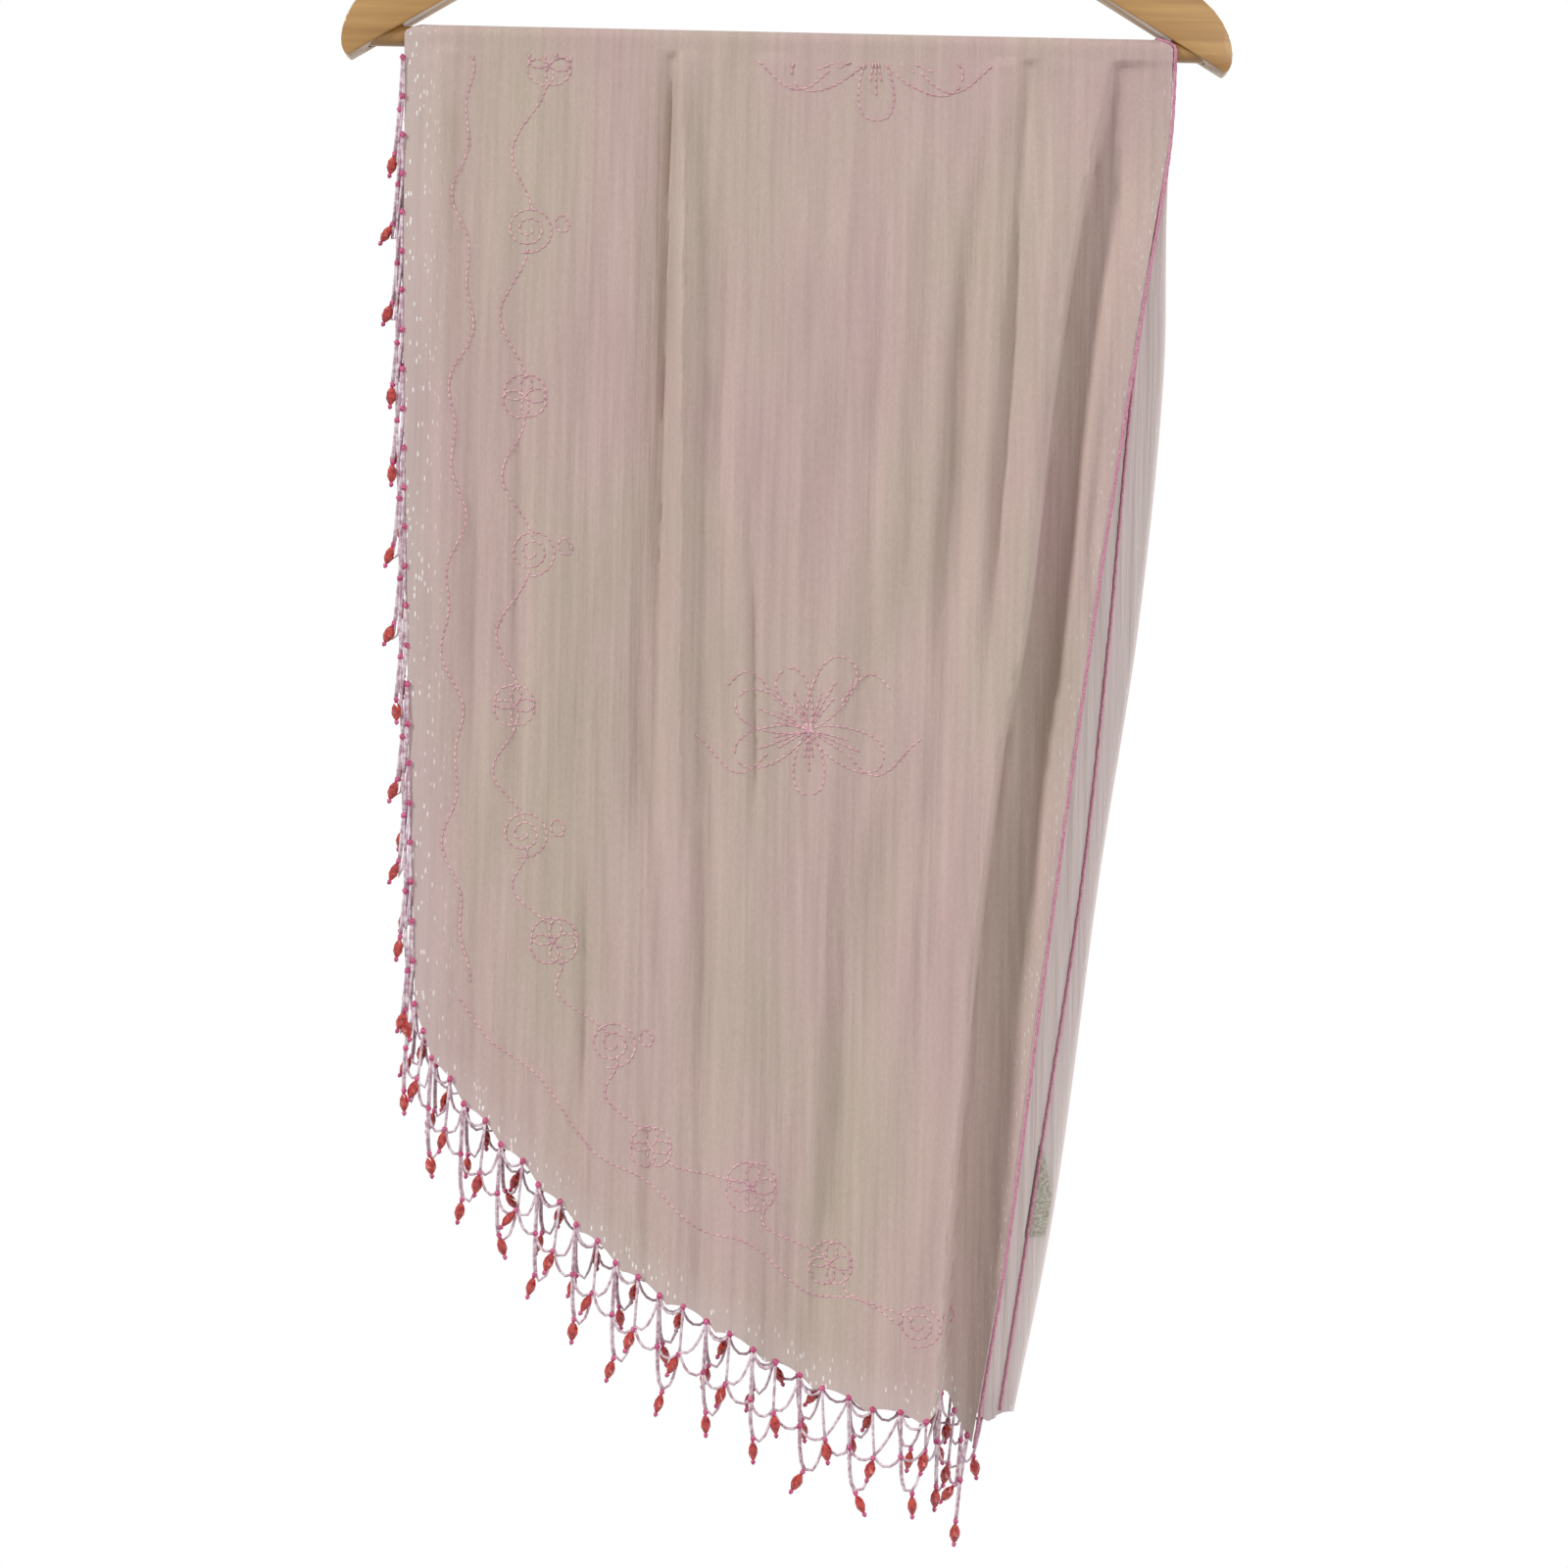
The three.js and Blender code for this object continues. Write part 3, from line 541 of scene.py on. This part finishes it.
back_foot = feet(lambda drop: back_plan(drop)[0], back_hem_line)
back_rows = []
for v in np.linspace(0, 1, 170):
    drop = mix(WRAP_DROP - 0.1, back_foot, v)
    x, y = back_plan(drop)
    back_rows.append(np.stack([x, y, BAR_Z - drop], -1))
back_grid = np.array(back_rows)
back_drop = BAR_Z - back_grid[..., 2]
back_band = edge_band(back_grid[..., 0], back_drop, back_hem_line, side_edge(back_drop), 400)
station = np.arange(len(STATIONS))
at_fold = smooth(1 - np.abs(station - MAIN_STEPS) / 14)
shown = smooth((back_drop - 30) / 40) * smooth((680 - back_drop) / 300)
back_band = np.maximum(back_band, at_fold[None, :] * shown)
# Painted light: the back fall's fold and returns get the paler colour of light coming through one layer.
painted_backlight = smooth((station - MAIN_STEPS + PALE_STEPS) / PALE_STEPS)[None, :] * smooth(back_drop / 120)
cloth_back = finish(sheet("cloth_back", back_grid, back_band, painted_backlight, WALL), VOILE, "voile", "cloth_back_fall")

# %% [markdown]
# Tubes, beads and stitches are many and small, so each kind is one joined mesh, made from a
# template that is copied along its path.


# %% Tubes and rolled hems
def tube(points, radius, sides, made):
    p = np.array(points, float)
    along = np.gradient(p, axis=0)
    along /= np.linalg.norm(along, axis=1)[:, None] + 1e-9
    aside = np.cross(along, (0.02, 1, 0.05))
    aside /= np.linalg.norm(aside, axis=1)[:, None] + 1e-9
    up = np.cross(aside, along)
    start, n = len(made[0]), len(p)
    for i in range(n):
        for k in range(sides):
            angle = 2 * math.pi * k / sides
            made[0].append(p[i] + radius * (math.cos(angle) * aside[i] + math.sin(angle) * up[i]))
    for i in range(n - 1):
        for k in range(sides):
            a, b = start + i * sides + k, start + i * sides + (k + 1) % sides
            made[1].append((a, b, b + sides, a + sides))
    made[1].append(tuple(start + k for k in reversed(range(sides))))
    made[1].append(tuple(start + (n - 1) * sides + k for k in range(sides)))


def rolled_hem(name, points, *nodes):
    made = ([], [])
    rows = [p + np.array([0.12 * math.sin(i * 1.9), 0, 0]) for i, p in enumerate(points)]
    tube(rows, 0.85, 8, made)
    return finish(mesh_object(name, *made), ROSY, "hem_thread", *nodes)


drops = np.linspace(698, WRAP_DROP, 300)
front_line = [np.array([front_waist(d), front_y(front_waist(d) - 0.9, d), BAR_Z - d]) for d in drops]
over_line = [front_grid[i, -1] + np.array([1.2, 0, 0]) for i in range(FALL_ROWS, len(front_grid))]
for p in over_line:
    turn = math.atan2(p[1], max(0.0, p[2] - BAR_Z))
    p += np.array([0, 0.5 * math.sin(turn), 0.5 * math.cos(turn)])
hem_front = rolled_hem("hem_front", front_line + over_line, "waist_hem_front", "waist_hem_over_bar")
back_line = [np.array([back_waist(d), back_flat(d) - 4 * turn_radius(d), BAR_Z - d])
             for d in np.linspace(WRAP_DROP, 680, 260)]
hem_back = rolled_hem("hem_back", back_line, "waist_hem_back")

# %% [markdown]
# The fringe is a knotted net. Strands hang from knots on the hem, swags join them, and beads pull
# them down. It is settled as points on threads of fixed length under their own weight.


# %% Net fringe
DOWN, DOWN_AGAIN, DOWN_BETWEEN = 21, 19, 20
HEM_LOOP, UPPER_LOOP, RISING_LOOP, LOW_LOOP, CROSS_LOOP = 18, 15.5, 21.5, 22, 17
SETTLE_STEPS, SETTLE_ROUNDS, DAMPING, WEIGHT, OVER_PULL = 160, 14, 0.9, 0.35, 1.9
OUTWARD = -0.03
CLOSED_TO, DROPS_FROM = 470, 480


def edge_points(hem, surface, side_end, hem_end, start):
    side = [(side_edge(d) - 0.5, d) for d in np.arange(start, side_end, 1.0)]
    slant = [(x, hem(x)) for x in np.arange(side_edge(side_end), hem_end, 0.8)]
    line = np.array(side + slant)
    run = np.concatenate([[0], np.cumsum(np.hypot(*np.diff(line, axis=0).T))])
    foot_run = side_end - start
    on_side = np.arange(start, foot_run - 12, SIDE_PITCH)
    on_slant = np.arange(foot_run, run[-1], KNOT_PITCH / 2)
    places = np.concatenate([on_side, on_slant])
    x, drop = np.interp(places, run, line[:, 0]), np.interp(places, run, line[:, 1])
    y = np.array([float(surface(max(a, float(side_edge(b))), b)) for a, b in zip(x, drop)])
    return np.stack([x, y, BAR_Z - drop], -1)


def strand(net, a, b, length, steps, kind):
    points, links, pinned, threads = net
    ids = [a]
    for i in range(1, steps):
        ids.append(len(points))
        points.append(points[a] + (points[b] - points[a]) * i / steps + np.array([0, 0, -2.0]))
        pinned.append(False)
    ids.append(b)
    for i, j in zip(ids[:-1], ids[1:]):
        links.append((i, j, length / steps))
    threads.append((kind, ids))


def settle(points, links, pinned):
    p = np.array(points)
    old = p.copy()
    i, j, rest = (np.array(c) for c in zip(*links))
    free = ~np.array(pinned)
    count = np.bincount(np.concatenate([i, j]), minlength=len(p))[:, None]
    for _ in range(SETTLE_STEPS):
        step = (p - old) * DAMPING
        old = p.copy()
        p[free] += step[free] + np.array([OUTWARD, 0, -WEIGHT])
        for _ in range(SETTLE_ROUNDS):
            d = p[j] - p[i]
            length = np.linalg.norm(d, axis=1)
            pull = d * (0.5 * np.maximum(0, length - rest) / np.maximum(length, 1e-6))[:, None]
            shift = np.zeros_like(p)
            np.add.at(shift, i, pull)
            np.add.at(shift, j, -pull)
            p[free] += (OVER_PULL * shift / count)[free]
    return p


def bead(centre, way, radius, half_length, sides, made):
    way = np.array(way, float) / np.linalg.norm(way)
    aside = np.cross(way, (0.1, 1, 0))
    aside /= np.linalg.norm(aside)
    up = np.cross(aside, way)
    start = len(made[0])
    rings = [(-0.8, 0.5), (-0.3, 0.97), (0.3, 0.97), (0.8, 0.5)]
    made[0].append(centre - way * half_length)
    for place, share in rings:
        for k in range(sides):
            angle = 2 * math.pi * (k + place) / sides
            made[0].append(centre + way * half_length * place
                           + radius * share * (math.cos(angle) * aside + math.sin(angle) * up))
    made[0].append(centre + way * half_length)
    end = len(made[0]) - 1
    for k in range(sides):
        n = (k + 1) % sides
        made[1].append((start, start + 1 + n, start + 1 + k))
        for ring in range(len(rings) - 1):
            a = start + 1 + ring * sides
            made[1].append((a + k, a + n, a + sides + n, a + sides + k))
        made[1].append((end, end - sides + k, end - sides + n))


def fringe(name, edge, depth_way, seed, *nodes):
    random = np.random.default_rng(seed)
    points, links, pinned, threads = net = ([], [], [], [])
    for q in edge:
        points.append(q + np.array([0, depth_way * random.uniform(0, 0.6), 0]))
        pinned.append(True)
    hem_knots = list(range(len(edge)))
    main, between = hem_knots[::2], hem_knots[1::2]

    def hang(top, down, aside=0.0):
        points.append(points[top] + np.array([aside, depth_way * random.uniform(0, 1.2), -down]))
        pinned.append(False)
        return len(points) - 1

    upper = [hang(k, 21, -3) for k in main]
    lower = [hang(k, 19, -2) for k in upper]
    middle = [hang(k, 24, -3) for k in between]
    for k, b, c in zip(main, upper, lower):
        strand(net, k, b, DOWN * random.uniform(0.92, 1.08), 5, "double")
        strand(net, b, c, DOWN_AGAIN * random.uniform(0.9, 1.1), 5, "double")
    for n, (m, d) in enumerate(zip(between, middle)):
        strand(net, m, d, DOWN_BETWEEN * random.uniform(0.9, 1.1), 5, "single")
        strand(net, main[n], m, HEM_LOOP, 6, "single")
        strand(net, upper[n], d, UPPER_LOOP * random.uniform(0.9, 1.15), 6, "single")
        if n + 1 < len(main):
            strand(net, d, main[n + 1], RISING_LOOP * random.uniform(0.95, 1.1), 6, "single")
            strand(net, lower[n], d, LOW_LOOP * random.uniform(0.9, 1.05), 5, "single")
            strand(net, d, upper[n + 1], CROSS_LOOP * random.uniform(0.95, 1.1), 5, "single")
    p = settle(points, links, pinned)
    beside = np.minimum(p[:, 0], side_edge(BAR_Z - p[:, 2]) - 0.8)
    p[:, 0] = np.where(p[:, 2] > BAR_Z - CLOSED_TO, beside, p[:, 0])
    net_mesh = ([], [])
    for kind, ids in threads:
        line = p[ids]
        if kind == "double":
            gap = np.array([0.42, 0.2, 0])
            tube(line - gap, 0.6, 5, net_mesh)
            tube(line + gap, 0.6, 5, net_mesh)
        else:
            tube(line, 0.74, 5, net_mesh)
    knots, beads = ([], []), ([], [])
    for k in hem_knots + upper:
        bead(p[k], (random.uniform(-0.3, 0.3), 0, -1), 1.6, 2.0, 5, knots)
    hanging = [k for k in middle if p[k][2] < BAR_Z - DROPS_FROM]
    for k in lower + hanging:
        lean = np.array([random.normal(-0.12, 0.28), depth_way * 0.1, -1])
        lean /= np.linalg.norm(lean)
        bead(p[k] + lean * 1.4, lean, 1.4, 2.0, 5, knots)
        bead(p[k] + lean * 7.2, lean, random.uniform(2.2, 2.8), 4.8, 8, beads)
        bead(p[k] + lean * 12.6, lean, 1.25, 1.5, 5, knots)
    net_piece = finish(mesh_object(name + "_net", *net_mesh), NET, "fringe", *nodes)
    knot_piece = finish(mesh_object(name + "_knots", *knots), KNOT, "fringe")
    bead_piece = finish(mesh_object(name + "_beads", *beads, False), RUBY, "beads")
    return [net_piece, knot_piece, bead_piece]


front_edge = edge_points(front_hem, front_y, 482, 106, 6)
back_edge = edge_points(back_hem_line, back_y, 464, 120, 20)
fringe_front = fringe("fringe_front", front_edge, -1, 4, "fringe_front")
fringe_back = fringe("fringe_back", back_edge, 1, 9, "fringe_back")

# %% [markdown]
# The embroidery is tone on tone: running stitches in pink thread along a trailing vine of spirals
# and loops, with open star flowers. Every stitch is a short piece of thread lying on the cloth.


# %% Embroidery
def spiral(x, drop, size):
    t = np.linspace(0, 2.3 * 2 * math.pi, 60)
    r = size * (0.15 + 0.85 * t / t[-1])
    coil = list(zip(x + r * np.cos(t), drop + r * np.sin(t) * 0.95))
    return [coil, loop(x + size * 1.05, drop - 2, 4.2, -0.3)]


def loop(x, drop, size, turn):
    t = np.linspace(0, 2 * math.pi, 22)
    a, b = size * (1 + np.cos(t)) * 0.75, size * np.sin(t)
    c, s = math.cos(turn), math.sin(turn)
    return list(zip(x + a * c - b * s, drop + a * s + b * c))


def loops(x, drop, size):
    return [loop(x, drop, size * 0.5, turn) for turn in (-2.2, -0.7, 0.6, 2.4)]


def star(x, drop, size):
    lines = []
    for k in range(6):
        turn = math.radians((-158, -112, -62, 22, 88, 158)[k])
        reach = size * (0.95, 0.8, 1.0, 1.0, 0.8, 0.95)[k]
        c, s = math.cos(turn), math.sin(turn)
        t = np.linspace(0, math.pi, 34)
        along, across = reach * np.sin(t / 2) ** 1.2, reach * 0.24 * np.sin(t) ** 0.8
        for way in (-1, 1):
            lines.append(list(zip(x + along * c - way * across * s, drop + along * s + way * across * c)))
        for off in (-0.16, 0.0, 0.16):
            lines.append([(x + math.cos(turn + off) * q, drop + math.sin(turn + off) * q)
                          for q in np.linspace(1, reach * (0.5 if off else 0.7), 6)])
    for way in (-1, 1):
        t = np.linspace(0, 1, 30)
        lines.append(list(zip(x + way * size * (0.5 + 0.9 * t), drop + 10 * np.sin(4.2 * t) + 12)))
        lines.append(list(zip(x + way * size * (0.4 + 0.6 * t), drop - 14 - 14 * np.sin(2.6 * t))))
    return lines


MOTIFS = [(loops, -118, 14, 15), (spiral, -126, 97, 13), (loops, -126, 180, 15), (spiral, -121, 257, 13),
          (loops, -128, 333, 14), (spiral, -122, 396, 13), (loops, -106, 449, 16), (spiral, -76, 499, 13),
          (loops, -56, 550, 14), (loops, -6, 568, 17), (loops, 34, 606, 15), (spiral, 78, 634, 12)]
BORDER = [(0, -161), (120, -157), (260, -160), (400, -156), (470, -152)]


def pattern(top_flower):
    lines = star(17.7, 342, 40) + star(44, top_flower, 46)
    for motif, x, drop, size in MOTIFS:
        lines += motif(x, drop, size)
    for (_, xa, da, sa), (_, xb, db, _) in zip(MOTIFS[:-1], MOTIFS[1:]):
        t = np.linspace(0.12, 0.9, 26)
        lines.append(list(zip(mix(xa, xb, t) - 9 * np.sin(math.pi * t) + 4 * np.sin(9 * t), mix(da, db, t))))
    d = np.linspace(10, 470, 150)
    lines.append(list(zip(track(BORDER)(d) + 4 * np.sin(d / 17) + 2.5 * np.sin(d / 7.3), d)))
    t = np.linspace(0, 1, 80)
    lines.append(list(zip(mix(-152, 70, t), cut_hem(mix(-152, 70, t)) - 50 + 4 * np.sin(t * 26))))
    return lines


def embroider(name, lines, surface, hem, lift):
    made = ([], [])
    for line in lines:
        line = np.array(line)
        run = np.concatenate([[0], np.cumsum(np.hypot(*np.diff(line, axis=0).T))])
        for start in np.arange(0, run[-1] - 1.5, 3.4):
            at = np.array([start, start + 1.3, start + 2.6])
            x, drop = np.interp(at, run, line[:, 0]), np.interp(at, run, line[:, 1])
            across = [x > side_edge(drop) + 3, x < front_waist(drop) - 6]
            if np.all([drop < hem(x) - 4, drop > WRAP_DROP, *across]):
                y = surface(x, drop) + lift * np.array([0.6, 1.0, 0.6])
                tube(np.stack([x, y, BAR_Z - drop], -1), 0.38, 4, made)
    return finish(mesh_object(name, *made), STITCH, "hem_thread")


def crinkled_front(x, drop):
    y = front_y(x, drop)
    return np.array([crinkle(np.array([[a, b, BAR_Z - c]]), CRINKLE)[0][1] for a, b, c in zip(x, y, drop)])


stitches_front = embroider("stitches_front", pattern(2), crinkled_front, front_hem, -0.5)
stitches_back = embroider("stitches_back", pattern(40), back_y, back_hem_line, 0.5)

# %% [markdown]
# The hanger's arms are a copy of the plain ones with their edges rounded by a bevel. The bar, the
# wire and the blank label keep their shape, and get wood, metal and cloth.


# %% Hanger and label
def rounded_copy(name, node, width, segments):
    obj = bpy.data.objects.new(name, bpy.data.objects[node].data.copy())
    bpy.context.scene.collection.objects.link(obj)
    shape = bmesh.new()
    shape.from_mesh(obj.data)
    bmesh.ops.remove_doubles(shape, verts=shape.verts, dist=1e-5)
    bmesh.ops.dissolve_limit(shape, angle_limit=math.radians(1), verts=shape.verts, edges=shape.edges)
    shape.to_mesh(obj.data)
    shape.free()
    bpy.ops.object.select_all(action="DESELECT")
    bpy.context.view_layer.objects.active = obj
    obj.select_set(True)
    if width:
        edge = obj.modifiers.new("round", "BEVEL")
        edge.width = width * MM
        edge.segments = segments
        edge.limit_method = "ANGLE"
        edge.angle_limit = math.radians(50)
        bpy.ops.object.modifier_apply(modifier="round")
    bpy.ops.object.shade_smooth_by_angle(angle=math.radians(35))
    return obj


finish(rounded_copy("arms", "hanger_arms", 2.2, 3), WOOD, "wood", "hanger_arms")
finish(rounded_copy("bar", "hanger_bar", 0, 0), WOOD, "wood", "hanger_bar")
finish(rounded_copy("hook", "hanger_hook", 0, 0), STEEL, "steel", "hanger_hook")
label = finish(rounded_copy("label", "care_label", 0.15, 1), LABEL, "label", "care_label")
